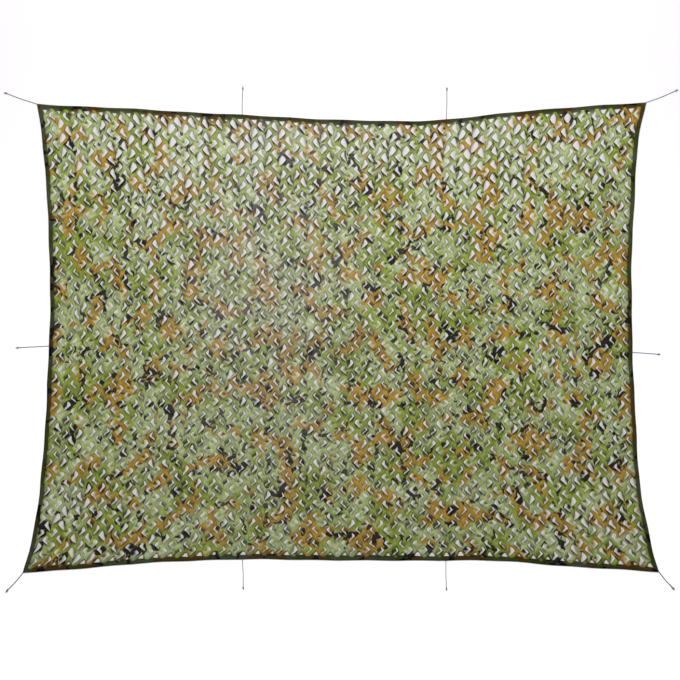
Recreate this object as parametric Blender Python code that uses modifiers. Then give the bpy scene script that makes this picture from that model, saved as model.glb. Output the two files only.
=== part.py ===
# Camouflage net, laid out flat: one slit and opened sheet with a rolled hem, and ten tie cords,
# each with a stopper knot. Metres, +Z up, and z = 0 is the surface that it lies on.
import math
import random
from collections import namedtuple

import bmesh
import bpy
from mathutils import Matrix, Vector

# Size of the net as it is sold, before its ties draw it out of square
NOMINAL_WIDTH = 4.0
NOMINAL_HEIGHT = 3.0

# Where the four corners lie once it is laid out
CORNERS = {
    "bottom_left": Vector((-2.045, -1.512)),
    "bottom_right": Vector((2.045, -1.506)),
    "top_left": Vector((-1.955, 1.503)),
    "top_right": Vector((1.961, 1.512)),
}

# Each side's two corners, and the way in which it bows
Side = namedtuple("Side", "start end inward")
SIDES = {
    "top": Side("top_left", "top_right", Vector((0.0, -1.0))),
    "bottom": Side("bottom_left", "bottom_right", Vector((0.0, 1.0))),
    "left": Side("bottom_left", "top_left", Vector((1.0, 0.0))),
    "right": Side("bottom_right", "top_right", Vector((-1.0, 0.0))),
}

# How deep each side bows in at a share of the way along it, left to right or bottom to top
Bow = namedtuple("Bow", "along depth")
BOWS = {
    "top": (Bow(0.0, 0.0), Bow(0.20, 0.042), Bow(0.40, 0.087), Bow(0.57, 0.115), Bow(0.67, 0.105),
            Bow(0.83, 0.042), Bow(1.0, 0.0)),
    "bottom": (Bow(0.0, 0.0), Bow(0.12, 0.037), Bow(0.24, 0.074), Bow(0.38, 0.085), Bow(0.54, 0.076),
               Bow(0.74, 0.073), Bow(0.88, 0.031), Bow(1.0, 0.0)),
    "left": (Bow(0.0, 0.0), Bow(0.05, 0.037), Bow(0.18, 0.094), Bow(0.42, 0.122), Bow(0.62, 0.119),
             Bow(0.80, 0.082), Bow(0.92, 0.044), Bow(1.0, 0.0)),
    "right": (Bow(0.0, 0.0), Bow(0.05, 0.040), Bow(0.18, 0.104), Bow(0.40, 0.128), Bow(0.62, 0.125),
              Bow(0.80, 0.091), Bow(0.92, 0.054), Bow(1.0, 0.0)),
}

# Cloth, and the hem rolled at its edge
CLOTH_THICKNESS = 0.002
HEM_WIDTH = 0.018
HEM_EDGE_HEIGHT = 0.006
HEM_CREST_HEIGHT = 0.008

# One repeat of the slits in the flat cloth. The gaps here are drawn at twice the real size and pitch.
REPEAT_WIDTH = 0.092
REPEAT_HEIGHT = 0.091
COARSENING = 2
GAP_COLUMNS = 20
GAP_ROWS = 15

# A gap's corners as shares of its cell, for a gap whose elbow points to +X
GAP_TOP = (0.36, 0.88)
GAP_ELBOW = (0.80, 0.60)
GAP_BOTTOM = (0.22, 0.12)
TONGUE_TIP_UP = 0.56
TONGUE_TIP_NARROW = 0.53
TONGUE_TIP_WIDE = 0.24
GAP_SCATTER = 0.03
CROSSING_SCATTER = 0.004

# How high the tip of the cloth tongue beside a gap stands, for the narrowest and the widest gap
TONGUE_LIFT_NARROW = 0.009
TONGUE_LIFT_WIDE = 0.018

# How far the gaps are drawn open, from 0 to 1: everywhere, and more around a few places
OPEN_EVERYWHERE = 0.22
OPEN_SCATTER = 0.16
Spot = namedtuple("Spot", "x y reach_x reach_y opening")
OPEN_SPOTS = (
    Spot(-0.80, 1.10, 0.50, 0.55, 0.75),
    Spot(0.85, 1.10, 0.50, 0.55, 0.75),
    Spot(0.00, 1.25, 1.60, 0.25, 0.25),
)

# Ties: the side and the share of the way along it where each one leaves the hem, how far its free
# end lies from there, how far its middle bows to the left of that way, its diameter and its material
Tie = namedtuple("Tie", "side along reach bow diameter finish")
THIN_CORD = 0.004
THICK_CORD = 0.005
TIES = {
    "top_left": Tie("top", 0.0, (-0.204, 0.071), 0.003, THIN_CORD, "cord_olive"),
    "top_right": Tie("top", 1.0, (0.198, 0.079), -0.004, THIN_CORD, "cord_olive"),
    "bottom_left": Tie("bottom", 0.0, (-0.104, -0.116), 0.003, THICK_CORD, "cord_dark"),
    "bottom_right": Tie("bottom", 1.0, (0.092, -0.107), -0.003, THICK_CORD, "cord_dark"),
    "left": Tie("left", 0.484, (-0.206, -0.011), 0.0, THIN_CORD, "cord_grey"),
    "right": Tie("right", 0.468, (0.170, -0.012), 0.0, THIN_CORD, "cord_grey"),
    "top_near_left": Tie("top", 0.337, (0.005, 0.175), 0.002, THIN_CORD, "cord_grey"),
    "top_near_right": Tie("top", 0.672, (0.004, 0.199), -0.002, THIN_CORD, "cord_grey"),
    "bottom_near_left": Tie("bottom", 0.345, (0.006, -0.185), 0.002, THIN_CORD, "cord_grey"),
    "bottom_near_right": Tie("bottom", 0.665, (0.003, -0.186), -0.002, THIN_CORD, "cord_grey"),
}

# Stopper knots at the free ends, in cord diameters
KNOT_LENGTH = 3.0
KNOT_WIDTH = 2.2

CLEARANCE = 0.0004
SEED = 41

Finish = namedtuple("Finish", "color roughness")
FINISHES = {
    "camo_cloth": Finish((0.25, 0.26, 0.11), 0.75),
    "cord_olive": Finish((0.05, 0.045, 0.02), 0.60),
    "cord_dark": Finish((0.015, 0.014, 0.010), 0.60),
    "cord_grey": Finish((0.045, 0.045, 0.040), 0.60),
}


def make_material(name):
    finish = FINISHES[name]
    material = bpy.data.materials.new(name)
    material.use_nodes = True
    shader = material.node_tree.nodes["Principled BSDF"]
    shader.inputs["Base Color"].default_value = (*finish.color, 1.0)
    shader.inputs["Roughness"].default_value = finish.roughness
    shader.inputs["Metallic"].default_value = 0.0
    return material


def bow_depth(side, along):
    """How deep a side bows in, on a smooth curve through its rows."""
    rows = BOWS[side]
    last = len(rows) - 1
    index = min(sum(row.along <= along for row in rows) - 1, last - 1)
    low, high = rows[index], rows[index + 1]
    before, after = rows[max(index - 1, 0)], rows[min(index + 2, last)]
    span = high.along - low.along
    start_slope = (high.depth - before.depth) / (high.along - before.along) * span
    end_slope = (after.depth - low.depth) / (after.along - low.along) * span
    t = (along - low.along) / span
    rise = t * t * (3.0 - 2.0 * t)
    return (low.depth + (high.depth - low.depth) * rise
            + start_slope * t * (1.0 - t) ** 2 - end_slope * t * t * (1.0 - t))


def side_point(side, along):
    ends = SIDES[side]
    chord = CORNERS[ends.start].lerp(CORNERS[ends.end], along)
    return chord + ends.inward * bow_depth(side, along)


def cloth_point(across, up):
    """Place of a point of the flat net, blended between its four bowed sides."""
    between_sides = side_point("left", up).lerp(side_point("right", up), across)
    between_ends = side_point("bottom", across).lerp(side_point("top", across), up)
    low = CORNERS["bottom_left"].lerp(CORNERS["bottom_right"], across)
    high = CORNERS["top_left"].lerp(CORNERS["top_right"], across)
    return between_sides + between_ends - low.lerp(high, up)


def grid_lines(size, pitch, steps):
    """Shares of a side at which the sheet has a line: hem, plain border, gap cells, border, hem."""
    border = (size - pitch * steps) / 2
    hem = [0.0, HEM_WIDTH / 2, HEM_WIDTH]
    cells = [border + pitch * step for step in range(steps + 1)]
    lines = hem + cells + [size - line for line in reversed(hem)]
    return [line / size for line in lines]


ACROSS_LINES = grid_lines(NOMINAL_WIDTH, COARSENING * REPEAT_WIDTH, GAP_COLUMNS)
UP_LINES = grid_lines(NOMINAL_HEIGHT, COARSENING * REPEAT_HEIGHT / 2, 2 * GAP_ROWS)
FIRST_CELL_LINE = 3


def hem_height(column, row):
    """Thickness of the sheet at a crossing of its lines."""
    from_edge = min(column, row, len(ACROSS_LINES) - 1 - column, len(UP_LINES) - 1 - row)
    return (HEM_EDGE_HEIGHT, HEM_CREST_HEIGHT, CLOTH_THICKNESS)[min(from_edge, 2)]


def openness(place, chance):
    opening = OPEN_EVERYWHERE + chance.uniform(-OPEN_SCATTER, OPEN_SCATTER)
    for spot in OPEN_SPOTS:
        distance = ((place.x - spot.x) / spot.reach_x) ** 2 + ((place.y - spot.y) / spot.reach_y) ** 2
        opening += spot.opening * 2.0 ** -distance
    return min(max(opening, 0.0), 1.0)


def cut_gap(sheet, roots, edges, chance):
    """Swap a cell's two faces for a ring around its gap, with a tongue of cloth raised at one side.

    roots and edges are the cell's crossings, bottom to top, beside the tongue and beside the elbow.
    """
    low_root, mid_root, high_root = roots
    low_edge, mid_edge, high_edge = edges
    centre = (mid_root.co + mid_edge.co) / 2
    opening = openness(centre, chance)

    def gap_corner(share, lift=0.0):
        across = share[0] + chance.uniform(-GAP_SCATTER, GAP_SCATTER)
        up = share[1] + chance.uniform(-GAP_SCATTER, GAP_SCATTER)
        low = low_root.co.lerp(low_edge.co, across)
        high = high_root.co.lerp(high_edge.co, across)
        return sheet.verts.new(low.lerp(high, up) + Vector((0.0, 0.0, lift)))

    tip_across = TONGUE_TIP_NARROW + (TONGUE_TIP_WIDE - TONGUE_TIP_NARROW) * opening
    tip_lift = TONGUE_LIFT_NARROW + (TONGUE_LIFT_WIDE - TONGUE_LIFT_NARROW) * opening
    top = gap_corner(GAP_TOP)
    elbow = gap_corner(GAP_ELBOW)
    bottom = gap_corner(GAP_BOTTOM)
    tip = gap_corner((tip_across, TONGUE_TIP_UP), tip_lift)
    ring = (
        (low_root, low_edge, bottom),
        (low_edge, mid_edge, bottom),
        (mid_edge, elbow, bottom),
        (mid_edge, high_edge, elbow),
        (high_edge, top, elbow),
        (high_edge, high_root, top),
        (high_root, mid_root, top),
        (mid_root, tip, top),
        (mid_root, bottom, tip),
        (mid_root, low_root, bottom),
    )
    for corners in ring:
        sheet.faces.new(corners)


def make_sheet():
    """The net's underside: a grid pulled to the bowed outline, with its gap cells opened."""
    columns = len(ACROSS_LINES) - 1
    rows = len(UP_LINES) - 1
    chance = random.Random(SEED)
    sheet = bmesh.new()
    thickness = sheet.verts.layers.deform.verify()
    bmesh.ops.create_grid(sheet, x_segments=columns, y_segments=rows, size=0.5)
    crossings = {}
    for vert in sheet.verts:
        column = round((vert.co.x + 0.5) * columns)
        row = round((vert.co.y + 0.5) * rows)
        crossings[column, row] = vert
        vert.co = cloth_point(ACROSS_LINES[column], UP_LINES[row]).to_3d()
        vert[thickness][0] = hem_height(column, row) / HEM_CREST_HEIGHT
        if FIRST_CELL_LINE <= min(column, row, columns - column, rows - row):
            vert.co.x += chance.uniform(-CROSSING_SCATTER, CROSSING_SCATTER)
            vert.co.y += chance.uniform(-CROSSING_SCATTER, CROSSING_SCATTER)

    opened = []
    for cell_column in range(GAP_COLUMNS):
        column = FIRST_CELL_LINE + cell_column
        half_step = cell_column % 2
        for cell_row in range(GAP_ROWS - half_step):
            row = FIRST_CELL_LINE + 2 * cell_row + half_step
            left = [crossings[column, row + step] for step in range(3)]
            right = [crossings[column + 1, row + step] for step in range(3)]
            points_right = half_step == 0
            cut_gap(sheet, left if points_right else right, right if points_right else left, chance)
            for step in range(2):
                corner_verts = (left[step], right[step], right[step + 1], left[step + 1])
                opened.append(sheet.faces.get(corner_verts))
    bmesh.ops.delete(sheet, geom=opened, context="FACES_ONLY")

    cloth_share = CLOTH_THICKNESS / HEM_CREST_HEIGHT
    for vert in sheet.verts:
        if 0 not in vert[thickness]:
            vert[thickness][0] = cloth_share
    for face in sheet.faces:
        face.normal_update()
        if face.normal.z < 0.0:
            face.normal_flip()
    return sheet


def build_net(parts, materials):
    sheet = make_sheet()
    mesh = bpy.data.meshes.new("net")
    sheet.to_mesh(mesh)
    sheet.free()
    net = bpy.data.objects.new("net", mesh)
    parts.objects.link(net)
    mesh.materials.append(materials["camo_cloth"])
    group = net.vertex_groups.new(name="thickness")
    solidify = net.modifiers.new("cloth", "SOLIDIFY")
    solidify.thickness = HEM_CREST_HEIGHT
    solidify.offset = 1.0
    solidify.vertex_group = group.name
    return net


def hem_point(side, along):
    """A point on the straight facets of the sheet's outer edge."""
    lines = ACROSS_LINES if side in ("top", "bottom") else UP_LINES
    index = min(sum(line <= along for line in lines) - 1, len(lines) - 2)
    low, high = lines[index], lines[index + 1]
    share = (along - low) / (high - low)
    return side_point(side, low).lerp(side_point(side, high), share)


def smooth_route(points, spacing):
    """Points about a spacing apart on a smooth curve through the given ones."""
    padded = [2 * points[0] - points[1], *points, 2 * points[-1] - points[-2]]
    route = []
    for before, low, high, after in zip(padded, padded[1:], padded[2:], padded[3:]):
        count = max(1, round((high - low).length / spacing))
        for step in range(count):
            t = step / count
            route.append(0.5 * (2 * low + (high - before) * t
                                + (2 * before - 5 * low + 4 * high - after) * t ** 2
                                + (3 * low - before - 3 * high + after) * t ** 3))
    route.append(points[-1])
    return route


def tie_route(tie):
    """A tie from its seat on the hem, down to the surface, along it, and up to its knot's height."""
    radius = tie.diameter / 2
    reach = Vector((*tie.reach, 0.0))
    heading = reach.normalized()
    sideways = Vector((-heading.y, heading.x, 0.0))
    knot_height = KNOT_WIDTH * radius
    start = hem_point(tie.side, tie.along).to_3d() + heading * CLEARANCE
    end = start + reach - heading * KNOT_LENGTH * tie.diameter
    shares = (0.0, 0.12, 0.5, 0.85, 1.0)
    heights = (HEM_EDGE_HEIGHT / 2, radius + CLEARANCE, radius + CLEARANCE, radius + CLEARANCE, knot_height)
    bends = (0.0, 0.3, 1.0, 0.4, 0.0)
    return [start.lerp(end, share) + sideways * tie.bow * bend + Vector((0.0, 0.0, height))
            for share, height, bend in zip(shares, heights, bends)]


def build_tie(parts, name, tie, materials):
    route = smooth_route(tie_route(tie), 3 * tie.diameter)
    curve = bpy.data.curves.new("tie_" + name, "CURVE")
    curve.dimensions = "3D"
    curve.bevel_depth = tie.diameter / 2
    curve.bevel_resolution = 2
    curve.use_fill_caps = True
    curve.materials.append(materials[tie.finish])
    spline = curve.splines.new("POLY")
    spline.points.add(len(route) - 1)
    for point, place in zip(spline.points, route):
        point.co = (*place, 1.0)
    parts.objects.link(bpy.data.objects.new("tie_" + name, curve))


def build_knot(parts, name, tie, materials):
    """A stopper knot, as an egg with a pole facing its cord."""
    heading = Vector((*tie.reach, 0.0)).normalized()
    half_length = KNOT_LENGTH * tie.diameter / 2
    half_width = KNOT_WIDTH * tie.diameter / 2
    poles_along_x = Matrix.Rotation(math.pi / 2, 4, "Y")
    egg = Matrix.Diagonal((half_length, half_width, half_width, 1.0))
    ball = bmesh.new()
    bmesh.ops.create_uvsphere(ball, u_segments=8, v_segments=6, radius=1.0, matrix=egg @ poles_along_x)
    mesh = bpy.data.meshes.new("knot_" + name)
    ball.to_mesh(mesh)
    ball.free()
    mesh.shade_smooth()
    mesh.materials.append(materials[tie.finish])
    knot = bpy.data.objects.new("knot_" + name, mesh)
    knot.location = tie_route(tie)[-1] + heading * (half_length + CLEARANCE)
    knot.rotation_euler = heading.to_track_quat("X", "Z").to_euler()
    parts.objects.link(knot)


def main():
    for old in list(bpy.data.objects):
        bpy.data.objects.remove(old, do_unlink=True)
    parts = bpy.data.collections.new("camouflage_net")
    bpy.context.scene.collection.children.link(parts)
    materials = {name: make_material(name) for name in FINISHES}
    build_net(parts, materials)
    for name, tie in TIES.items():
        build_tie(parts, name, tie, materials)
        build_knot(parts, name, tie, materials)


main()
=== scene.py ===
import math
import random

import bpy
from mathutils import Matrix, Vector
from mathutils.geometry import delaunay_2d_cdt


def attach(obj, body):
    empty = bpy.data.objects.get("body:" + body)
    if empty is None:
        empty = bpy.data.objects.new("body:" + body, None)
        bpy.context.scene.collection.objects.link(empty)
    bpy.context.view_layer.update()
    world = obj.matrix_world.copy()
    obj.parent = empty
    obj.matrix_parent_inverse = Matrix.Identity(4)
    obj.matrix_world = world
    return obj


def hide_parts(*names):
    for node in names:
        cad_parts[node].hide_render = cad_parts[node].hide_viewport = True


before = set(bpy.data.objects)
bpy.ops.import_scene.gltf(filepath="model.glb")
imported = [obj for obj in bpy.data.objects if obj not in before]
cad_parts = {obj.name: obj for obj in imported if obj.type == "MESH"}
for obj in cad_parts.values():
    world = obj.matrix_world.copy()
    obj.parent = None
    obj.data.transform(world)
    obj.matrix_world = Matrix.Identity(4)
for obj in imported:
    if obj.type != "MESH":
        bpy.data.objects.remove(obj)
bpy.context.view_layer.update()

scene = bpy.context.scene
mm = 0.001
perMetre = 1000


def addObject(name, data):
    made = bpy.data.objects.new(name, data)
    scene.collection.objects.link(made)
    return made


# Straight above the net, as if it hung flat on a wall. Lengths in metres.
view = {
    "height": 9.0,
    "frameWidth": 4.372,           # what the square frame takes in at the floor
    "centre": (-0.0064, -0.0145),
    "sensor": 36.0,                # mm
    "farthest": 100.0,
}


def addCamera():
    lens = bpy.data.cameras.new("camera")
    lens.sensor_width = view["sensor"]
    lens.lens = view["sensor"] * view["height"] / view["frameWidth"]
    lens.clip_end = view["farthest"]
    camera = addObject("camera", lens)
    camera.location = (*view["centre"], view["height"])
    scene.camera = camera


addCamera()
print("camera set")

# The net's corners and the way its sides bow in, as in the solid part. Lengths in metres.
outline = {
    "size": (4.0, 3.0),            # the cloth, cut and hemmed
    "corners": {
        "bottomLeft": Vector((-2.045, -1.512)),
        "bottomRight": Vector((2.045, -1.506)),
        "topLeft": Vector((-1.955, 1.503)),
        "topRight": Vector((1.961, 1.512)),
    },
    "sides": {                     # from corner, to corner, the way in
        "top": ("topLeft", "topRight", Vector((0.0, -1.0))),
        "bottom": ("bottomLeft", "bottomRight", Vector((0.0, 1.0))),
        "left": ("bottomLeft", "topLeft", Vector((1.0, 0.0))),
        "right": ("bottomRight", "topRight", Vector((-1.0, 0.0))),
    },
    "bows": {                      # share of the way along the side, how deep it bows in there
        "top": ((0.0, 0.0), (0.20, 0.042), (0.40, 0.087), (0.57, 0.115), (0.67, 0.105), (0.83, 0.042),
                (1.0, 0.0)),
        "bottom": ((0.0, 0.0), (0.12, 0.037), (0.24, 0.074), (0.38, 0.085), (0.54, 0.076), (0.74, 0.073),
                   (0.88, 0.031), (1.0, 0.0)),
        "left": ((0.0, 0.0), (0.05, 0.037), (0.18, 0.094), (0.42, 0.122), (0.62, 0.119), (0.80, 0.082),
                 (0.92, 0.044), (1.0, 0.0)),
        "right": ((0.0, 0.0), (0.05, 0.040), (0.18, 0.104), (0.40, 0.128), (0.62, 0.125), (0.80, 0.091),
                  (0.92, 0.054), (1.0, 0.0)),
    },
}


def bowDepth(side, along):
    # along a smooth curve through the rows of that side
    rows = outline["bows"][side]
    last = len(rows) - 1
    index = max(0, min(sum(row[0] <= along for row in rows) - 1, last - 1))
    low, high = rows[index], rows[index + 1]
    before, after = rows[max(index - 1, 0)], rows[min(index + 2, last)]
    span = high[0] - low[0]
    startSlope = (high[1] - before[1]) / (high[0] - before[0]) * span
    endSlope = (after[1] - low[1]) / (after[0] - low[0]) * span
    t = (along - low[0]) / span
    return (low[1] + (high[1] - low[1]) * t * t * (3.0 - 2.0 * t)
            + startSlope * t * (1.0 - t) ** 2 - endSlope * t * t * (1.0 - t))


def sidePoint(side, along):
    start, end, inward = outline["sides"][side]
    chord = outline["corners"][start].lerp(outline["corners"][end], along)
    return chord + inward * bowDepth(side, along)


def clothPoint(across, up):
    # where a point of the flat cloth comes to lie, both as shares of its sides
    corners = outline["corners"]
    betweenSides = sidePoint("left", up).lerp(sidePoint("right", up), across)
    betweenEnds = sidePoint("bottom", across).lerp(sidePoint("top", across), up)
    low = corners["bottomLeft"].lerp(corners["bottomRight"], across)
    high = corners["topLeft"].lerp(corners["topRight"], across)
    return betweenSides + betweenEnds - low.lerp(high, up)


def toLinear(hexColor):
    channels = [int(hexColor[i:i + 2], 16) / 255 for i in (1, 3, 5)]
    return tuple(c / 12.92 if c <= 0.04045 else ((c + 0.055) / 1.055) ** 2.4 for c in channels) + (1.0,)


def addNode(tree, kind, inputs=None, **settings):
    # an input is a plain value, a socket, or a node whose first output it takes
    node = tree.nodes.new("ShaderNode" + kind)
    for name, value in settings.items():
        setattr(node, name, value)
    for name, value in (inputs or {}).items():
        if isinstance(value, bpy.types.Node):
            value = value.outputs[0]
        if isinstance(value, bpy.types.NodeSocket):
            tree.links.new(value, node.inputs[name])
        else:
            node.inputs[name].default_value = value
    return node


def newMaterial(name):
    material = bpy.data.materials.new(name)
    material.use_nodes = True
    material.node_tree.nodes.clear()
    return material, material.node_tree


# Ties of three-strand twisted polyester, each sewn into the hem, with an overhand knot in its end.
ties = {
    # side and share of the way along it, reach to the knot's far end and bow to the left of it in
    # metres, diameter in mm, length from the hem to the knot in metres, finish
    "top_left": ("top", 0.0, (-0.204, 0.071), 0.003, 4.0, 0.210, "cord_olive"),
    "top_right": ("top", 1.0, (0.198, 0.079), -0.004, 4.0, 0.207, "cord_olive"),
    "bottom_left": ("bottom", 0.0, (-0.104, -0.116), 0.003, 5.0, 0.147, "cord_dark"),
    "bottom_right": ("bottom", 1.0, (0.092, -0.107), -0.003, 5.0, 0.132, "cord_dark"),
    "left": ("left", 0.484, (-0.206, -0.011), 0.0, 4.0, 0.200, "cord_grey"),
    "right": ("right", 0.468, (0.170, -0.012), 0.0, 4.0, 0.164, "cord_grey"),
    "top_near_left": ("top", 0.337, (0.005, 0.175), 0.002, 4.0, 0.169, "cord_grey"),
    "top_near_right": ("top", 0.672, (0.004, 0.199), -0.002, 4.0, 0.193, "cord_grey"),
    "bottom_near_left": ("bottom", 0.345, (0.006, -0.185), 0.002, 4.0, 0.179, "cord_grey"),
    "bottom_near_right": ("bottom", 0.665, (0.003, -0.186), -0.002, 4.0, 0.180, "cord_grey"),
}
twist = {
    "strands": 3,
    "lay": 3.0,                    # length of one turn of a strand, in diameters
    "grooveDepth": 0.16,           # share of the radius
    "grooveShape": 1.5,            # above 1, the strands are round and the grooves narrow
    "pointsRound": 15,
    "ringsPerTurn": 15,
    "sewnIn": 6.0,                 # mm of each tie inside the hem
    "clearance": 0.4,              # mm, between the tie and the hem, and under the tie
    "hemMiddle": 3.0,              # height of the hem's middle, mm
    # share of the way along a tie, and share of its bow that it has there
    "stops": ((0.0, 0.0), (0.12, 0.3), (0.5, 1.0), (0.85, 0.4), (1.0, 0.0)),
    "knotLength": 3.0,             # of the solid knot that this one stands for, in diameters
    "knotHeight": 1.1,             # where the tie runs into the knot, in diameters
    "knotLift": 0.97,              # height of the knot's middle, in diameters
    "knotCord": 0.97,              # the cord is pulled a little thinner in its knot
    # the cord's middle through a tight overhand knot and out to its cut end, in diameters
    "knot": ((-1.50, 0.00, 0.13), (-0.91, -0.03, 0.43), (-0.36, -0.34, 0.64), (0.08, -0.49, 1.11),
             (0.57, -0.20, 1.46), (0.98, 0.32, 1.41), (1.15, 0.82, 1.00), (1.05, 1.01, 0.37),
             (0.70, 0.84, -0.18), (0.27, 0.38, -0.40), (-0.13, -0.18, -0.40), (-0.54, -0.70, -0.30),
             (-0.95, -0.99, 0.15), (-1.15, -0.93, 0.78), (-1.08, -0.52, 1.30), (-0.73, 0.02, 1.49),
             (-0.25, 0.43, 1.27), (0.22, 0.45, 0.80), (0.69, 0.10, 0.49), (1.36, 0.00, 0.38),
             (2.04, 0.03, 0.12), (2.75, 0.02, -0.22), (3.45, -0.05, -0.42)),
}
cordFinish = {
    "colors": {
        "cord_olive": "#3E3D28",
        "cord_dark": "#201F18",
        "cord_grey": "#3C3C38",
    },
    "paintedGrooveShade": (0.35, 1.1),         # painted shade in the grooves and a little painted light on the strands' tops: brightness, from the grooves to the tops
    "fibre": 0.8,                  # width of the bundles of fibre in a strand, mm
    "fibreLength": 6.0,            # in widths
    "fibreTone": (0.8, 1.2),
    "fibreDepth": 0.10,            # mm
    "roughness": 0.55,
    "ior": 1.57,
    "sheen": 0.15,
}


def smoothRoute(points, spacing):
    # a curve through the points, in steps of about that spacing
    padded = [2 * points[0] - points[1], *points, 2 * points[-1] - points[-2]]
    route = []
    for before, low, high, after in zip(padded, padded[1:], padded[2:], padded[3:]):
        count = max(1, round((high - low).length / spacing))
        for step in range(count):
            t = step / count
            route.append(0.5 * (2 * low + (high - before) * t
                                + (2 * before - 5 * low + 4 * high - after) * t ** 2
                                + (3 * low - before - 3 * high + after) * t ** 3))
    route.append(points[-1])
    return route


def twistedCord(name, route, diameter, turned=0.0):
    # a tube whose three strands wind round it, closed at both ends
    headings = [(after - before).normalized() for before, after in
                zip([route[0], *route[:-1]], [*route[1:], route[-1]])]
    side = headings[0].orthogonal().normalized()
    around, points, place = twist["pointsRound"], [], []
    travelled = turned
    for index, (middle, heading) in enumerate(zip(route, headings)):
        if index:
            travelled += (middle - route[index - 1]).length / (twist["lay"] * diameter)
            side = (side - heading * side.dot(heading)).normalized()
        other = heading.cross(side)
        for n in range(around):
            angle = 2 * math.pi * n / around
            strand = abs(math.cos(twist["strands"] / 2 * (angle - 2 * math.pi * travelled)))
            radius = diameter / 2 * (1 - twist["grooveDepth"] * (1 - strand) ** twist["grooveShape"])
            points.append(middle + (side * math.cos(angle) + other * math.sin(angle)) * radius)
            place.append((travelled * twist["lay"] * diameter, angle * diameter / 2, strand))
    last = len(route) - 1
    faces = [(ring * around + n, ring * around + (n + 1) % around,
              (ring + 1) * around + (n + 1) % around, (ring + 1) * around + n)
             for ring in range(last) for n in range(around)]
    faces += [tuple(reversed(range(around))), tuple(range(last * around, (last + 1) * around))]
    mesh = bpy.data.meshes.new(name)
    mesh.from_pydata(points, [], faces)
    mesh.attributes.new("strandPlace", "FLOAT_VECTOR", "POINT").data.foreach_set(
        "vector", [value for spot in place for value in spot])
    mesh.shade_smooth()
    return addObject(name, mesh), travelled


def cordMaterial(finish):
    # twisted polyester filament: a dull silky shine along each strand, and painted shade in the grooves between
    # them
    material, tree = newMaterial("twisted polyester " + finish.removeprefix("cord_"))
    place = addNode(tree, "Attribute", attribute_name="strandPlace").outputs["Vector"]
    strand = addNode(tree, "SeparateXYZ", {0: place}).outputs[2]
    # painted shade in the grooves
    low, high = cordFinish["paintedGrooveShade"]
    shade = addNode(tree, "MapRange", {"Value": strand, "To Min": low, "To Max": high})
    across = 1.0 / (cordFinish["fibre"] * mm)
    stretched = addNode(tree, "Mapping",
                        {"Vector": place, "Scale": (across / cordFinish["fibreLength"], across, 0.0)})
    fibres = addNode(tree, "TexNoise", {"Vector": stretched, "Scale": 1.0, "Detail": 2.0})
    low, high = cordFinish["fibreTone"]
    tone = addNode(tree, "MapRange", {"Value": fibres, "To Min": low, "To Max": high})
    both = addNode(tree, "Math", {0: shade, 1: tone}, operation="MULTIPLY")
    color = addNode(tree, "Mix", {0: 1.0, 6: toLinear(cordFinish["colors"][finish]), 7: both},
                    data_type="RGBA", blend_type="MULTIPLY").outputs[2]
    bump = addNode(tree, "Bump", {"Height": fibres, "Distance": cordFinish["fibreDepth"] * mm})
    shader = addNode(tree, "BsdfPrincipled", {
        "Base Color": color, "Normal": bump, "Roughness": cordFinish["roughness"], "IOR": cordFinish["ior"],
        "Sheen Weight": cordFinish["sheen"]})
    addNode(tree, "OutputMaterial", {"Surface": shader})
    return material


def addTies():
    finishes = {name: cordMaterial(name) for name in cordFinish["colors"]}
    for name, (side, along, reach, bow, diameter, length, finish) in ties.items():
        diameter *= mm
        gap = twist["clearance"] * mm
        reach = Vector((*reach, 0.0))
        heading = reach.normalized()
        sideways = Vector((-heading.y, heading.x, 0.0))
        start = sidePoint(side, along).to_3d() + heading * gap
        end = start + reach - heading * twist["knotLength"] * diameter
        lying = diameter / 2 + gap
        heights = (twist["hemMiddle"] * mm, lying, lying, lying, twist["knotHeight"] * diameter)
        points = [start.lerp(end, share) + sideways * bow * bend + Vector((0.0, 0.0, height))
                  for (share, bend), height in zip(twist["stops"], heights)]
        points.insert(0, points[0] - heading * twist["sewnIn"] * mm)
        spacing = twist["lay"] * diameter / twist["ringsPerTurn"]
        route = smoothRoute(points, spacing)
        cord, turned = twistedCord("cord_" + name, route, diameter)
        middle = end + heading * twist["knotLength"] / 2 * diameter
        middle.z = twist["knotLift"] * diameter
        turnKnot = Matrix((heading, sideways, Vector((0.0, 0.0, 1.0)))).transposed()
        bends = [middle + turnKnot @ Vector(bend) * diameter for bend in twist["knot"]]
        knot, turned = twistedCord("stopper_" + name, smoothRoute(bends, spacing),
                                   diameter * twist["knotCord"], turned)
        for piece, node in ((cord, "tie_" + name), (knot, "knot_" + name)):
            piece.data.materials.append(finishes[finish])
            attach(piece, "root")
            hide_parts(node)
    print(len(ties), "ties laid and knotted")


addTies()

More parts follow.
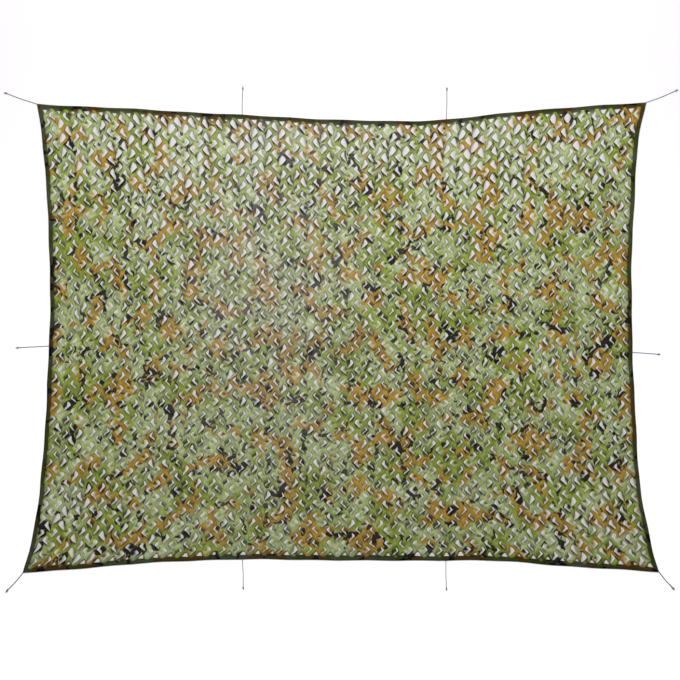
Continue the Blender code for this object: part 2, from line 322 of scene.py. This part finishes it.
# Woodland print on coated polyester oxford, cut with a hot knife. Lengths in mm.
camoPrint = {
    "ground": "#6C7A2B",           # yellow green
    # the three colours printed over it: the noise that shapes each, how high it must be, softness, strength
    "layers": (
        ("#959F78", "pale", 0.474, 0.10, 0.58),
        ("#866B23", "brown", 0.556, 0.015, 0.95),
        ("#1A1913", "black", 0.668, 0.012, 0.95),
    ),
    "rimColor": "#1A1913",         # black also runs along parts of the brown's outline
    "rimAt": 0.558,
    "rimWidth": 0.060,
    "rimFrom": 0.64,
    "noises": {                    # distance between blotches, detail, swirl, shift
        "pale": (230.0, 2.2, 0.5, (3.1, 7.7, 0.0)),
        "brown": (165.0, 2.0, 0.3, (11.3, 2.9, 0.0)),
        "black": (75.0, 1.5, 0.3, (5.5, 15.1, 0.0)),
        "rim": (160.0, 1.0, 0.0, (1.5, 4.1, 0.0)),
        "cloud": (22.0, 3.0, 0.0, (0.0, 0.0, 0.0)),
        "crease": (30.0, 2.0, 0.6, (0.0, 0.0, 0.0)),
    },
    "noiseRoughness": 0.58,
    "cloud": (0.72, 1.28),         # unevenness of the dye
    # a pale grey that the print is mixed towards in spots
    "greyedTo": "#8E8E86",
    "greyedSpots": (                # x, y, reach across, reach up in metres, how far the print is mixed towards that grey there
        (-0.50, 0.35, 0.45, 0.90, 0.27),
        (0.10, 1.45, 0.90, 0.25, 0.15),
    ),
    "sheen": ("#B3B8A6", 0.75),    # painted highlight: the coating where a leaf curls up into the light, and how much it shows
    "edge": (1.09, 0.14),          # painted shade: brightness out on the cloth, and at a cut edge that turns down into shade
    "roughness": (0.60, 0.82),     # the coating is a little glossier where it isn't creased
    "ior": 1.5,
    "creaseDepth": 2.2,
    "thread": 3.0,                 # real oxford threads are 0.5 apart: drawn coarser so that they show
    "threadDepth": 0.12,
    "seamInset": 20.0,             # the hem's row of stitches, from its fold
    "stitchLength": 6.0,           # real ones are 3.5 long: drawn coarser so that they show
    "stitchShare": 0.66,           # of that length, how much the thread shows
    "stitchWidth": 1.5,
    "stitchColor": "#A7A878",
    "gloss": 0.12,                 # of the coating, on the net and on the hem
    "hemGloss": 0.03,
    "hemShade": 0.11,              # painted shade: brightness of the rolled cloth against the net's
}


def seamMask(tree, cloth):
    # 1 on the stitches of the row round the hem, by their place on the flat cloth
    corner = (*(side / 2 for side in outline["size"]), 0.0)
    fromMiddle = addNode(tree, "VectorMath", {0: cloth, 1: corner}, operation="SUBTRACT")
    fromMiddle = addNode(tree, "VectorMath", {0: fromMiddle}, operation="ABSOLUTE")
    inward = addNode(tree, "VectorMath", {0: corner, 1: fromMiddle}, operation="SUBTRACT")
    inward = addNode(tree, "SeparateXYZ", {0: inward})
    nearest = addNode(tree, "Math", {0: inward.outputs[0], 1: inward.outputs[1]}, operation="MINIMUM")
    onSeam = addNode(tree, "Math", {
        0: nearest, 1: camoPrint["seamInset"] * mm, 2: camoPrint["stitchWidth"] / 2 * mm}, operation="COMPARE")
    perStitch = 1.0 / (camoPrint["stitchLength"] * mm)
    along = addNode(tree, "VectorMath", {0: cloth, 1: (perStitch, perStitch, 0.0)}, operation="DOT_PRODUCT")
    along = addNode(tree, "Math", {0: along.outputs["Value"]}, operation="FRACT")
    onStitch = addNode(tree, "Math", {0: along, 1: camoPrint["stitchShare"]}, operation="LESS_THAN")
    return addNode(tree, "Math", {0: onSeam, 1: onStitch}, operation="MULTIPLY")


def printMaterial(name, shade, gloss):
    # oxford with a thin coating: a dull, dry film over a fine weave, printed in flat colours, a little
    # glossier between its creases, with painted highlight along curled edges and painted shade along the cut
    # ones
    material, tree = newMaterial(name)
    cloth = addNode(tree, "Attribute", attribute_name="clothPlace").outputs["Vector"]
    noises = {}
    for noise, (apart, detail, swirl, shift) in camoPrint["noises"].items():
        moved = addNode(tree, "Mapping", {"Vector": cloth, "Location": shift})
        noises[noise] = addNode(tree, "TexNoise", {
            "Vector": moved, "Scale": 1.0 / (apart * mm), "Detail": detail,
            "Roughness": camoPrint["noiseRoughness"], "Distortion": swirl}, noise_dimensions="2D")

    # what is laid over the ground colour, from the bottom up: how much of it shows, its colour
    covers = []
    for paint, noise, start, soft, strength in camoPrint["layers"]:
        covers.append((addNode(tree, "MapRange", {
            "Value": noises[noise], "From Min": start - soft, "From Max": start + soft, "To Max": strength},
            interpolation_type="SMOOTHSTEP"), paint))
    onRim = addNode(tree, "Math", {
        0: noises["brown"], 1: camoPrint["rimAt"], 2: camoPrint["rimWidth"]}, operation="COMPARE")
    partly = addNode(tree, "Math", {0: noises["rim"], 1: camoPrint["rimFrom"]}, operation="GREATER_THAN")
    rim = addNode(tree, "Math", {0: onRim, 1: partly}, operation="MULTIPLY")
    # the print paler and greyer in spots
    greyed = addNode(tree, "Attribute", attribute_name="greyed").outputs["Fac"]
    # painted shade along the cut edges and round the slits where above nought, painted highlight on curled
    # leaves where below
    edge = addNode(tree, "Attribute", attribute_name="cutEdge").outputs["Fac"]
    sheen, most = camoPrint["sheen"]
    # painted highlight where a leaf curls up into the light
    paintedHighlight = addNode(tree, "MapRange", {"Value": edge, "From Max": -1.0, "To Max": most})
    covers += [(rim, camoPrint["rimColor"]), (seamMask(tree, cloth), camoPrint["stitchColor"]),
               (greyed, camoPrint["greyedTo"]), (paintedHighlight, sheen)]
    color = toLinear(camoPrint["ground"])
    for share, paint in covers:
        color = addNode(tree, "Mix", {0: share, 6: color, 7: toLinear(paint)}, data_type="RGBA").outputs[2]

    leaf = addNode(tree, "Attribute", attribute_name="leafTone").outputs["Fac"]
    # what dims or brightens the print: its source, how high that goes, brightness at nought and there
    # the leaf tone also carries the hem's painted shade, and the cut edges' tone is painted shade
    tones = ((noises["cloud"], 1.0, camoPrint["cloud"]), (leaf, 2.0, (0.0, 2.0 * shade)),
             (edge, 1.0, camoPrint["edge"]))
    for source, end, (low, high) in tones:
        tone = addNode(tree, "MapRange", {"Value": source, "From Max": end, "To Min": low, "To Max": high})
        color = addNode(tree, "Mix", {0: 1.0, 6: color, 7: tone},
                        data_type="RGBA", blend_type="MULTIPLY").outputs[2]

    weave = addNode(tree, "TexChecker", {"Vector": cloth, "Scale": 1.0 / (camoPrint["thread"] * mm)})
    bump = addNode(tree, "Bump", {
        "Height": weave.outputs["Fac"], "Strength": 1.0, "Distance": camoPrint["threadDepth"] * mm})
    bump = addNode(tree, "Bump", {
        "Height": noises["crease"], "Normal": bump, "Strength": 1.0, "Distance": camoPrint["creaseDepth"] * mm})
    low, high = camoPrint["roughness"]
    rough = addNode(tree, "MapRange", {"Value": noises["crease"], "To Min": low, "To Max": high})
    shader = addNode(tree, "BsdfPrincipled", {
        "Base Color": color, "Roughness": rough, "Normal": bump, "IOR": camoPrint["ior"],
        "Specular IOR Level": gloss})
    addNode(tree, "OutputMaterial", {"Surface": shader})
    return material


# The net's slits and the leaf that each leaves. Lengths in mm.
net = {
    "columns": 86,                 # columns of slits
    "halfRows": 65,                # half slits from bottom to top: every other column is half a slit up
    "marginX": 23.5,               # from the edge to the first slits
    "marginY": 23.5,
    "swing": (10.5, 12.5),         # how far the bands between slits swing aside, shut and open
    "swingAtEnds": 0.4,            # and what share of that is left along the top and bottom hem
    "scatter": 3.8,                # how far the places where four slits meet stray
    "thickness": 0.7,
    "seed": 29,
    "opening": 0.015,              # 0 is a slit nearly shut and 1 one wide open
    "openingScatter": 0.26,
    "openingSpread": (4.0, 2.0, 0.4),   # most slits are a little narrower than that, and a few are wide open
    "openingMost": 1.05,
    "openSpots": (                 # x, y, reach across, reach up in metres, how much wider the slits are there
        (0.00, 1.40, 2.20, 0.30, 0.42),
        (-0.95, 1.15, 0.60, 0.40, 0.35),
        (0.95, 1.15, 0.60, 0.40, 0.35),
        (-0.50, 0.45, 0.60, 0.50, 0.24),
        (1.00, 0.90, 0.35, 0.30, 0.08),
        (-1.75, -1.20, 0.50, 0.40, 0.36),
        (1.75, -1.20, 0.50, 0.40, 0.36),
    ),
    "ripple": 1.6,                 # how far the cloth and its hem waver from a smooth line
    "waves": ((9.0, 21.0), (8.0, 19.0)),   # and how fast, up the cloth and across it, in radians a metre
    "hemHeight": 3.0,              # of the cloth where it meets the hem
    "bandHeight": 6.0,             # where four slits meet
    "bandScatter": 1.5,
    "betweenHeight": 3.6,          # between two slits of a column
    # Each point of a slit: its place as cut in the flat cloth, when nearly shut and when open, as shares
    # of the way from the band that carries the leaf to the other one and from the slit's foot to its
    # head, then its height when nearly shut and when open.
    "slit": {
        "head": ((0.52, 0.84), (0.56, 0.82), (0.56, 0.92), 3.0, 3.0),
        "upperArm": ((0.70, 0.66), (0.76, 0.67), (0.79, 0.75), 1.4, 1.4),
        "elbow": ((0.78, 0.50), (0.84, 0.52), (0.86, 0.52), 1.0, 1.0),
        "lowerArm": ((0.60, 0.33), (0.51, 0.32), (0.62, 0.26), 1.2, 1.2),
        "foot": ((0.35, 0.16), (0.05, 0.11), (0.08, 0.08), 3.0, 3.0),
        "lowerEdge": ((0.60, 0.33), (0.38, 0.375), (0.10, 0.32), 5.0, 14.0),
        "leafTip": ((0.78, 0.50), (0.66, 0.525), (0.13, 0.52), 8.0, 24.0),
        "upperEdge": ((0.70, 0.66), (0.59, 0.645), (0.26, 0.74), 5.0, 12.0),
    },
    "around": {                    # and the points of cloth round it
        "root": ((0.22, 0.50), (0.16, 0.50), (0.04, 0.50), 6.5, 8.0),
        "rib": ((0.52, 0.50), (0.42, 0.51), (0.08, 0.51), 8.0, 18.0),
        "shoulder": ((0.28, 0.80), (0.26, 0.80), (0.18, 0.86), 5.5, 5.5),
        "outside": ((0.85, 0.18), (0.74, 0.17), (0.84, 0.15), 4.0, 4.0),
    },
    "leafEdge": ("lowerEdge", "leafTip", "upperEdge"),
    "pointScatter": 0.02,
    "liftFrom": 6.5,               # what stands above this height rises more or less from leaf to leaf
    "lift": (0.7, 1.3),
    "endSlit": ((0.12, 0.20), (0.86, 0.16), (0.70, 0.78), (0.34, 0.62)),   # the short slits along the ends
    "endSlitSize": (0.45, 1.15),
    "endSlitScatter": 0.04,
    "endSlitHeight": 2.0,
    "shade": {                     # how much of the painted shade at the cut edge reaches the points round a slit
        "root": 0.90, "rib": 1.00, "shoulder": 0.35, "head": 0.50, "upperArm": 0.65, "outside": 0.95,
        "between": 0.45, "band": 0.22, "endSlit": 0.80, "hemEdge": 1.30,
    },
    "edgeShade": (0.2, 1.2),       # and how dark that painted shade is, from slit to slit
    "leafTone": (0.84, 1.18),      # brightness, at random from leaf to leaf
    "besideHem": 0.78,             # painted shade on the leaves along the sides, where the hem pulls the cloth tight
    "curledUp": 0.35,              # share of the leaves whose own edge is lit, with a painted highlight
    "curledOpening": 0.5,          # and how much of their slit is open

    # The rolled hem, from its stitching round to its folded-in edge: in from the fold, height.
    "hem": ((23.0, 2.2), (19.0, 4.6), (11.0, 6.6), (4.0, 6.2), (1.2, 4.6), (0.4, 3.0), (1.4, 1.5), (5.0, 1.1),
            (18.0, 1.1)),
    "hemReach": 30.0,              # cloth taken up by the hem beyond its fold
    "cutOnMap": 0.0015,            # how wide a cut edge is drawn on the map for baking, as a share of it
}


def fromSpots(spots, x, y):
    # each spot fades to half at its reach
    return sum(more * 2.0 ** -(((x - spotX) / reachX) ** 2 + ((y - spotY) / reachY) ** 2)
               for spotX, spotY, reachX, reachY, more in spots)


def localOpening(x, y):
    # by a place on the flat cloth, in mm
    width, length = (side * perMetre for side in outline["size"])
    return net["opening"] + fromSpots(net["openSpots"], *clothPoint(x / width, y / length))


def insidePolygon(point, polygon):
    inside = False
    for first, second in zip(polygon, polygon[1:] + polygon[:1]):
        if (first[1] > point[1]) != (second[1] > point[1]):
            crossing = first[0] + (point[1] - first[1]) / (second[1] - first[1]) * (second[0] - first[0])
            inside ^= point[0] < crossing
    return inside


def cellTriangles(rim, slit, around=()):
    # triangles between the rim of a slit's cell and the slit, by their places in the cell
    places = [*rim, *slit, *around]
    rings = [list(range(len(rim))), list(range(len(rim), len(rim) + len(slit)))]
    edges = [edge for ring in rings for edge in zip(ring, ring[1:] + ring[:1])]
    made = delaunay_2d_cdt([Vector(place) for place in places], edges, [], 0, 1e-6)[2]
    hole = [places[i] for i in rings[1]]
    middles = [[sum(places[i][axis] for i in face) / 3 for axis in (0, 1)] for face in made]
    return [face for face, middle in zip(made, middles) if not insidePolygon(middle, hole)]


def through(three, t):
    # along the curve through three points of a band
    return three[0] * (1 - t) * (1 - 2 * t) + three[1] * 4 * t * (1 - t) + three[2] * t * (2 * t - 1)


class Sheet:
    # the cloth's upper face while it is drawn: points, faces, what each point knows of the cloth, and its
    # painted shade and highlight
    def __init__(self):
        self.points, self.faces, self.hemFaces = [], [], set()
        self.onMap, self.onPrint, self.cutEdge, self.leafTone = [], [], [], []

    # the edge value is painted shade above nought and painted highlight below it
    def addPoint(self, x, y, height, cutEdge=0.0, leafTone=1.0, onPrint=None, folded=None):
        width, length = outline["size"]
        place = clothPoint(x / perMetre / width, y / perMetre / length)
        (slowUp, fastUp), (slowAcross, fastAcross) = net["waves"]
        place += Vector((math.sin(place.y * slowUp) + math.sin(place.y * fastUp + place.x),
                         math.sin(place.x * slowAcross) + math.sin(place.x * fastAcross + place.y)
                         )) * net["ripple"] * mm
        self.points.append(Vector((place.x, place.y, height * mm)))
        self.onMap.append(folded or (x, y))
        self.onPrint.append(onPrint or self.onMap[-1])
        self.cutEdge.append(cutEdge)
        self.leafTone.append(leafTone)
        return len(self.points) - 1


def placeBands(chance):
    # where the bands between the slits cross: as printed, and once the cloth is pulled open
    width, length = (side * perMetre for side in outline["size"])
    columns, rows = net["columns"], net["halfRows"]
    stepX = (width - 2 * net["marginX"]) / columns
    stepY = (length - 2 * net["marginY"]) / rows
    printed, pulled = {}, {}
    for i in range(columns + 1):
        for k in range(rows + 1):
            x, y = net["marginX"] + i * stepX, net["marginY"] + k * stepY
            printed[i, k] = Vector((x, y))
            opening = min(localOpening(x, y), 1.0)
            swing = net["swing"][0] + (net["swing"][1] - net["swing"][0]) * opening
            atSides, atEnds = i in (0, columns), k in (0, rows)
            if not atSides:
                x += (swing if (i + k) % 2 == 0 else -swing) * (net["swingAtEnds"] if atEnds else 1.0)
            height = net["hemHeight"]
            if not (atSides or atEnds):
                x += chance.uniform(-net["scatter"], net["scatter"])
                y += chance.uniform(-net["scatter"], net["scatter"])
                height = net["bandHeight"] + chance.uniform(-net["bandScatter"], net["bandScatter"])
            pulled[i, k] = Vector((x, y, height))
    return printed, pulled


def openSlit(sheet, chance, left, right, low, high, besideHem):
    # adds the points of one slit, its leaf and the cloth round it, between the bands left and right of
    # it, and gives back their numbers; low and high are the corners of its cell on the print
    middle = (left[1] + right[1]) / 2
    power, most, least = net["openingSpread"]
    opening = localOpening(middle.x, middle.y)
    opening += net["openingScatter"] * (chance.random() ** power * most - least)
    opening = min(max(opening, 0.0), net["openingMost"])
    leafTone, lift = chance.uniform(*net["leafTone"]), chance.uniform(*net["lift"])
    shades = chance.uniform(*net["edgeShade"]), chance.uniform(*net["edgeShade"])
    curled = chance.random() < net["curledUp"]
    if curled:
        opening *= net["curledOpening"]
    # painted shade beside the hem
    if besideHem:
        leafTone *= net["besideHem"]
    numbers = []
    for name, (cut, shut, opened, lowHeight, highHeight) in (*net["slit"].items(), *net["around"].items()):
        share = Vector(shut).lerp(Vector(opened), opening)
        share += Vector([chance.uniform(-net["pointScatter"], net["pointScatter"]) for axis in range(2)])
        height = lowHeight + (highHeight - lowHeight) * opening
        if height > net["liftFrom"]:
            height = net["liftFrom"] + (height - net["liftFrom"]) * lift
        place = through(left, share.y).lerp(through(right, share.y), share.x)
        ofLeaf = name in (*net["leafEdge"], "rib", "root")
        # painted shade at the slit's cut edge and round it
        edge = net["shade"].get(name, 1.0) * shades[ofLeaf]
        if curled and name in net["leafEdge"]:
            edge = -1.0            # painted highlight, not painted shade
        onPrint = (low.x + (high.x - low.x) * cut[0], low.y + (high.y - low.y) * cut[1])
        numbers.append(sheet.addPoint(place.x, place.y, height, edge, leafTone, onPrint))
    return numbers


def rollHem(sheet, chance, loop):
    # from the loop of points where the slits end, out to the fold, round it and back in under
    width, length = (side * perMetre for side in outline["size"])
    around = [Vector(sheet.onMap[n]) - Vector((width, length)) / 2 for n in loop]
    last, unrolled = Vector(net["hem"][0]), net["hem"][0][0]
    for inward, height in net["hem"]:
        unrolled -= (Vector((inward, height)) - last).length
        last = Vector((inward, height))
        nextLoop = []
        for spot in around:
            places = []            # as rolled, and on the flat cloth
            for reach in (inward, unrolled):
                across = (width / 2 - reach) / (width / 2 - net["marginX"])
                up = (length / 2 - reach) / (length / 2 - net["marginY"])
                places.append((spot.x * across + width / 2, spot.y * up + length / 2))
            nextLoop.append(sheet.addPoint(*places[0], height, leafTone=chance.uniform(*net["leafTone"]),
                                           folded=places[1]))
        for n in range(len(loop)):
            m = (n + 1) % len(loop)
            sheet.hemFaces.add(len(sheet.faces))
            sheet.faces.append([loop[n], nextLoop[n], nextLoop[m], loop[m]])
        loop = nextLoop


def drawSheet():
    chance = random.Random(net["seed"])
    sheet = Sheet()
    columns, rows = net["columns"], net["halfRows"]
    printed, pulled = placeBands(chance)
    known = {}

    def crossing(i, k):
        if (i, k) not in known:
            # painted shade along the hem's edge and, at random, where the bands cross
            if i in (0, columns) or k in (0, rows):
                shade = net["shade"]["hemEdge"]
            else:
                shade = net["shade"]["band"] * chance.uniform(*net["edgeShade"])
            known[i, k] = sheet.addPoint(*pulled[i, k], shade, chance.uniform(*net["leafTone"]),
                                         tuple(printed[i, k]))
        return known[i, k]

    def midway(i, k):
        # between two bands, where one slit ends and the next starts
        if (i + 0.5, k) not in known:
            middle = (pulled[i, k] + pulled[i + 1, k]) / 2
            onPrint = (printed[i, k] + printed[i + 1, k]) / 2
            # painted shade between two slits
            shade = net["shade"]["between"] * chance.uniform(*net["edgeShade"])
            known[i + 0.5, k] = sheet.addPoint(middle.x, middle.y, net["betweenHeight"], shade,
                                               chance.uniform(*net["leafTone"]), tuple(onPrint))
        return known[i + 0.5, k]

    def halfOpen(points):
        return [((shut[0] + opened[0]) / 2, (shut[1] + opened[1]) / 2)
                for cut, shut, opened, lowHeight, highHeight in points.values()]

    triangles = cellTriangles(((0, 0), (0.5, 0), (1, 0), (1, 0.5), (1, 1), (0.5, 1), (0, 1), (0, 0.5)),
                              halfOpen(net["slit"]), halfOpen(net["around"]))
    endTriangles = cellTriangles(((0, 0), (1, 0), (1, 1), (0.5, 1), (0, 1)), net["endSlit"])
    slits = 0
    for i in range(columns):
        half = i % 2
        for k in range(half, rows - 1, 2):
            left = [pulled[i, k + step] for step in range(3)]
            right = [pulled[i + 1, k + step] for step in range(3)]
            low, high = printed[i, k], printed[i + 1, k + 2]
            rim = [crossing(i, k), midway(i, k), crossing(i + 1, k), crossing(i + 1, k + 1),
                   crossing(i + 1, k + 2), midway(i, k + 2), crossing(i, k + 2), crossing(i, k + 1)]
            if half:               # every other column is mirrored
                left, right = right, left
                low, high = Vector((high.x, low.y)), Vector((low.x, high.y))
                rim = [rim[n] for n in (2, 1, 0, 7, 6, 5, 4, 3)]
            cell = rim + openSlit(sheet, chance, left, right, low, high, i in (0, columns - 1))
            sheet.faces.extend([cell[n] for n in (reversed(face) if half else face)] for face in triangles)
            slits += 1
        # the half cell that is left at one end of the column, with a short slit
        k, inner = (0, 1) if half else (rows, rows - 1)
        low, high, far, near = pulled[i, k], pulled[i + 1, k], pulled[i + 1, inner], pulled[i, inner]
        cell = [crossing(i, k), crossing(i + 1, k), crossing(i + 1, inner), midway(i, inner),
                crossing(i, inner)]
        size, stray = chance.uniform(*net["endSlitSize"]), net["endSlitScatter"]
        for share in net["endSlit"]:
            across, up = (0.5 + (value - 0.5) * size + chance.uniform(-stray, stray) for value in share)
            place = low.lerp(high, across).lerp(near.lerp(far, across), up)
            # painted shade round the short slits
            cell.append(sheet.addPoint(place.x, place.y, net["endSlitHeight"], net["shade"]["endSlit"]))
        sheet.faces.extend([cell[n] for n in (face if half else reversed(face))] for face in endTriangles)

    # round the edge: along the bottom, up the right side, back along the top and down the left side
    bottom = sorted([(i, 0) for i in range(columns)] + [(i + 0.5, 0) for i in range(0, columns, 2)])
    top = sorted([(i, rows) for i in range(1, columns + 1)] + [(i + 0.5, rows) for i in range(1, columns, 2)],
                 reverse=True)
    edge = bottom + [(columns, k) for k in range(rows)] + top + [(0, k) for k in range(rows, 0, -1)]
    rollHem(sheet, chance, [known[place] for place in edge])
    print(slits, "slits cut")
    return sheet


def mapForBaking(mesh, sheet, faces):
    # the upper face in the upper half, the under face below it, and each cut edge a little way into its slit
    reach = net["hemReach"]
    width, length = (side * perMetre + 2 * reach for side in outline["size"])
    onMap = [((x + reach) / width, (y + reach) / length) for x, y in sheet.onMap]
    total, count = len(sheet.faces), len(sheet.points)
    places = []
    for index, face in enumerate(faces):
        if index < 2 * total:
            base = 0.5 if index < total else 0.0
            places += [(onMap[n % count][0], onMap[n % count][1] / 2 + base) for n in face]
        else:
            first, second = Vector(onMap[face[1]]), Vector(onMap[face[0]])
            along = second - first
            side = Vector((-along.y, along.x)).normalized() * -net["cutOnMap"]
            places += [(spot.x, spot.y / 2 + 0.5) for spot in (second, first, first + side, second + side)]
    uvMap = mesh.uv_layers.new(name="OFBake")
    uvMap.data.foreach_set("uv", [value for place in places for value in place])


def closeSheet(sheet):
    # gives the cloth its thickness, with the edge of every slit closed
    draft = bpy.data.meshes.new("draft")
    draft.from_pydata(sheet.points, [], sheet.faces)
    depth = net["thickness"] * mm
    under = [point - vert.normal * depth for point, vert in zip(sheet.points, draft.vertices)]
    bpy.data.meshes.remove(draft)

    total, count = len(sheet.faces), len(sheet.points)
    edges = dict.fromkeys(edge for face in sheet.faces for edge in zip(face, face[1:] + face[:1]))
    faces = [list(face) for face in sheet.faces]
    faces += [[n + count for n in reversed(face)] for face in sheet.faces]
    faces += [[b, a, a + count, b + count] for a, b in edges if (b, a) not in edges]
    mesh = bpy.data.meshes.new("camoNet")
    mesh.from_pydata(sheet.points + under, [], faces)
    mapForBaking(mesh, sheet, faces)

    onCloth = mesh.attributes.new("clothPlace", "FLOAT_VECTOR", "POINT")
    onCloth.data.foreach_set("vector", [value for x, y in sheet.onPrint * 2 for value in (x * mm, y * mm, 0.0)])
    greyed = [fromSpots(camoPrint["greyedSpots"], point.x, point.y) for point in sheet.points]
    for name, values in (("cutEdge", sheet.cutEdge), ("leafTone", sheet.leafTone), ("greyed", greyed)):
        mesh.attributes.new(name, "FLOAT", "POINT").data.foreach_set("value", values * 2)
    for index, polygon in enumerate(mesh.polygons):
        polygon.use_smooth = index < 2 * total
        polygon.material_index = int(index < 2 * total and index % total in sheet.hemFaces)
    return mesh


netMesh = closeSheet(drawSheet())
# one layer, flat and dry, that takes the light
netMesh.materials.append(printMaterial("hot-cut printed oxford", 1.0, camoPrint["gloss"]))
# and several, rolled up and sewn: the same print in painted shade, a dark, nearly glossless rim
netMesh.materials.append(
    printMaterial("printed oxford in painted shade", camoPrint["hemShade"], camoPrint["hemGloss"]))
camoNet = addObject("camoNet", netMesh)
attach(camoNet, "root")
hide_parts("net")
print("net made", len(netMesh.polygons), "faces,",
      sum(len(polygon.vertices) - 2 for polygon in netMesh.polygons), "triangles")

# A plain pale floor just under the net, and a wide soft panel above its top edge. Lengths in metres.
studio = {
    "floorFar": "#F8F8FA",
    "floorNear": "#BCBCBE",        # greyer towards the lamp, so that it's a plain white all over
    "floorSize": 12.0,
    "floorHeight": -0.0005,        # a little under what lies on it
    "shadeSheetFar": "#B6B4AC",         # painted shade: a grey sheet under the net, so that its slits show against the floor
    "shadeSheetNear": "#A6A5A4",
    "shadeSheetHeight": -0.0002,
    "shadeSheetInset": 0.005,           # share of the net's sides
    "shadeSheetSteps": 40,              # along each of its bowed sides
    "washEnds": (-2.2, 2.2),       # where the wash from far to near starts and ends
    "roughness": 0.9,
    "panelPlace": (0.0, 3.2, 4.2),
    "panelAim": (0.0, 0.6, 0.0),
    "panelSize": (6.0, 2.5),
    "panelPower": 420.0,
    "panelColor": "#FFFDFA",
    "skyColor": "#EEECFA",
    "skyStrength": 0.8,
}


def paintMaterial(name, far, near):
    # matt emulsion, and a grey sheet of painted shade: plain, with no shine, washed a little greyer towards the
    # lamp
    material, tree = newMaterial(name)
    place = addNode(tree, "NewGeometry").outputs["Position"]
    up = addNode(tree, "SeparateXYZ", {0: place}).outputs[1]
    start, end = studio["washEnds"]
    share = addNode(tree, "MapRange", {"Value": up, "From Min": start, "From Max": end},
                    interpolation_type="SMOOTHSTEP")
    wash = addNode(tree, "Mix", {0: share, 6: toLinear(far), 7: toLinear(near)}, data_type="RGBA").outputs[2]
    shader = addNode(tree, "BsdfPrincipled", {"Base Color": wash, "Roughness": studio["roughness"]})
    addNode(tree, "OutputMaterial", {"Surface": shader})
    return material


def addStudio():
    edge = studio["floorSize"] / 2
    floorMesh = bpy.data.meshes.new("floor")
    floorMesh.from_pydata([(-edge, -edge, 0), (edge, -edge, 0), (edge, edge, 0), (-edge, edge, 0)], [],
                          [(0, 1, 2, 3)])
    floor = addObject("floor", floorMesh)
    floor.location.z = studio["floorHeight"]
    floorMesh.materials.append(paintMaterial("matt emulsion floor", studio["floorFar"], studio["floorNear"]))

    # the sheet of painted shade under the net, just inside its bowed sides
    steps = [n / studio["shadeSheetSteps"] for n in range(studio["shadeSheetSteps"])]
    rim = [(t, 0.0) for t in steps] + [(1.0, t) for t in steps]
    rim += [(1.0 - t, 1.0) for t in steps] + [(0.0, 1.0 - t) for t in steps]
    low, spread = studio["shadeSheetInset"], 1.0 - 2 * studio["shadeSheetInset"]
    shadeSheetMesh = bpy.data.meshes.new("shadeSheet")
    shadeSheetMesh.from_pydata([(*clothPoint(low + across * spread, low + up * spread), 0.0) for across, up in rim],
                          [], [list(range(len(rim)))])
    shadeSheet = addObject("shadeSheet", shadeSheetMesh)
    shadeSheet.location.z = studio["shadeSheetHeight"]
    shadeSheetMesh.materials.append(paintMaterial("grey sheet of painted shade", studio["shadeSheetFar"], studio["shadeSheetNear"]))

    lamp = bpy.data.lights.new("panel", "AREA")
    lamp.shape = "RECTANGLE"
    lamp.size, lamp.size_y = studio["panelSize"]
    lamp.energy = studio["panelPower"]
    lamp.color = toLinear(studio["panelColor"])[:3]
    panel = addObject("panel", lamp)
    panel.location = studio["panelPlace"]
    panel.rotation_euler = (Vector(studio["panelAim"]) - panel.location).to_track_quat("-Z", "Y").to_euler()

    world = bpy.data.worlds.new("studio")
    world.use_nodes = True
    sky = world.node_tree.nodes["Background"]
    sky.inputs["Color"].default_value = toLinear(studio["skyColor"])
    sky.inputs["Strength"].default_value = studio["skyStrength"]
    scene.world = world
    scene.view_settings.view_transform = "Standard"
    print("floor, paper, panel and sky set")


addStudio()
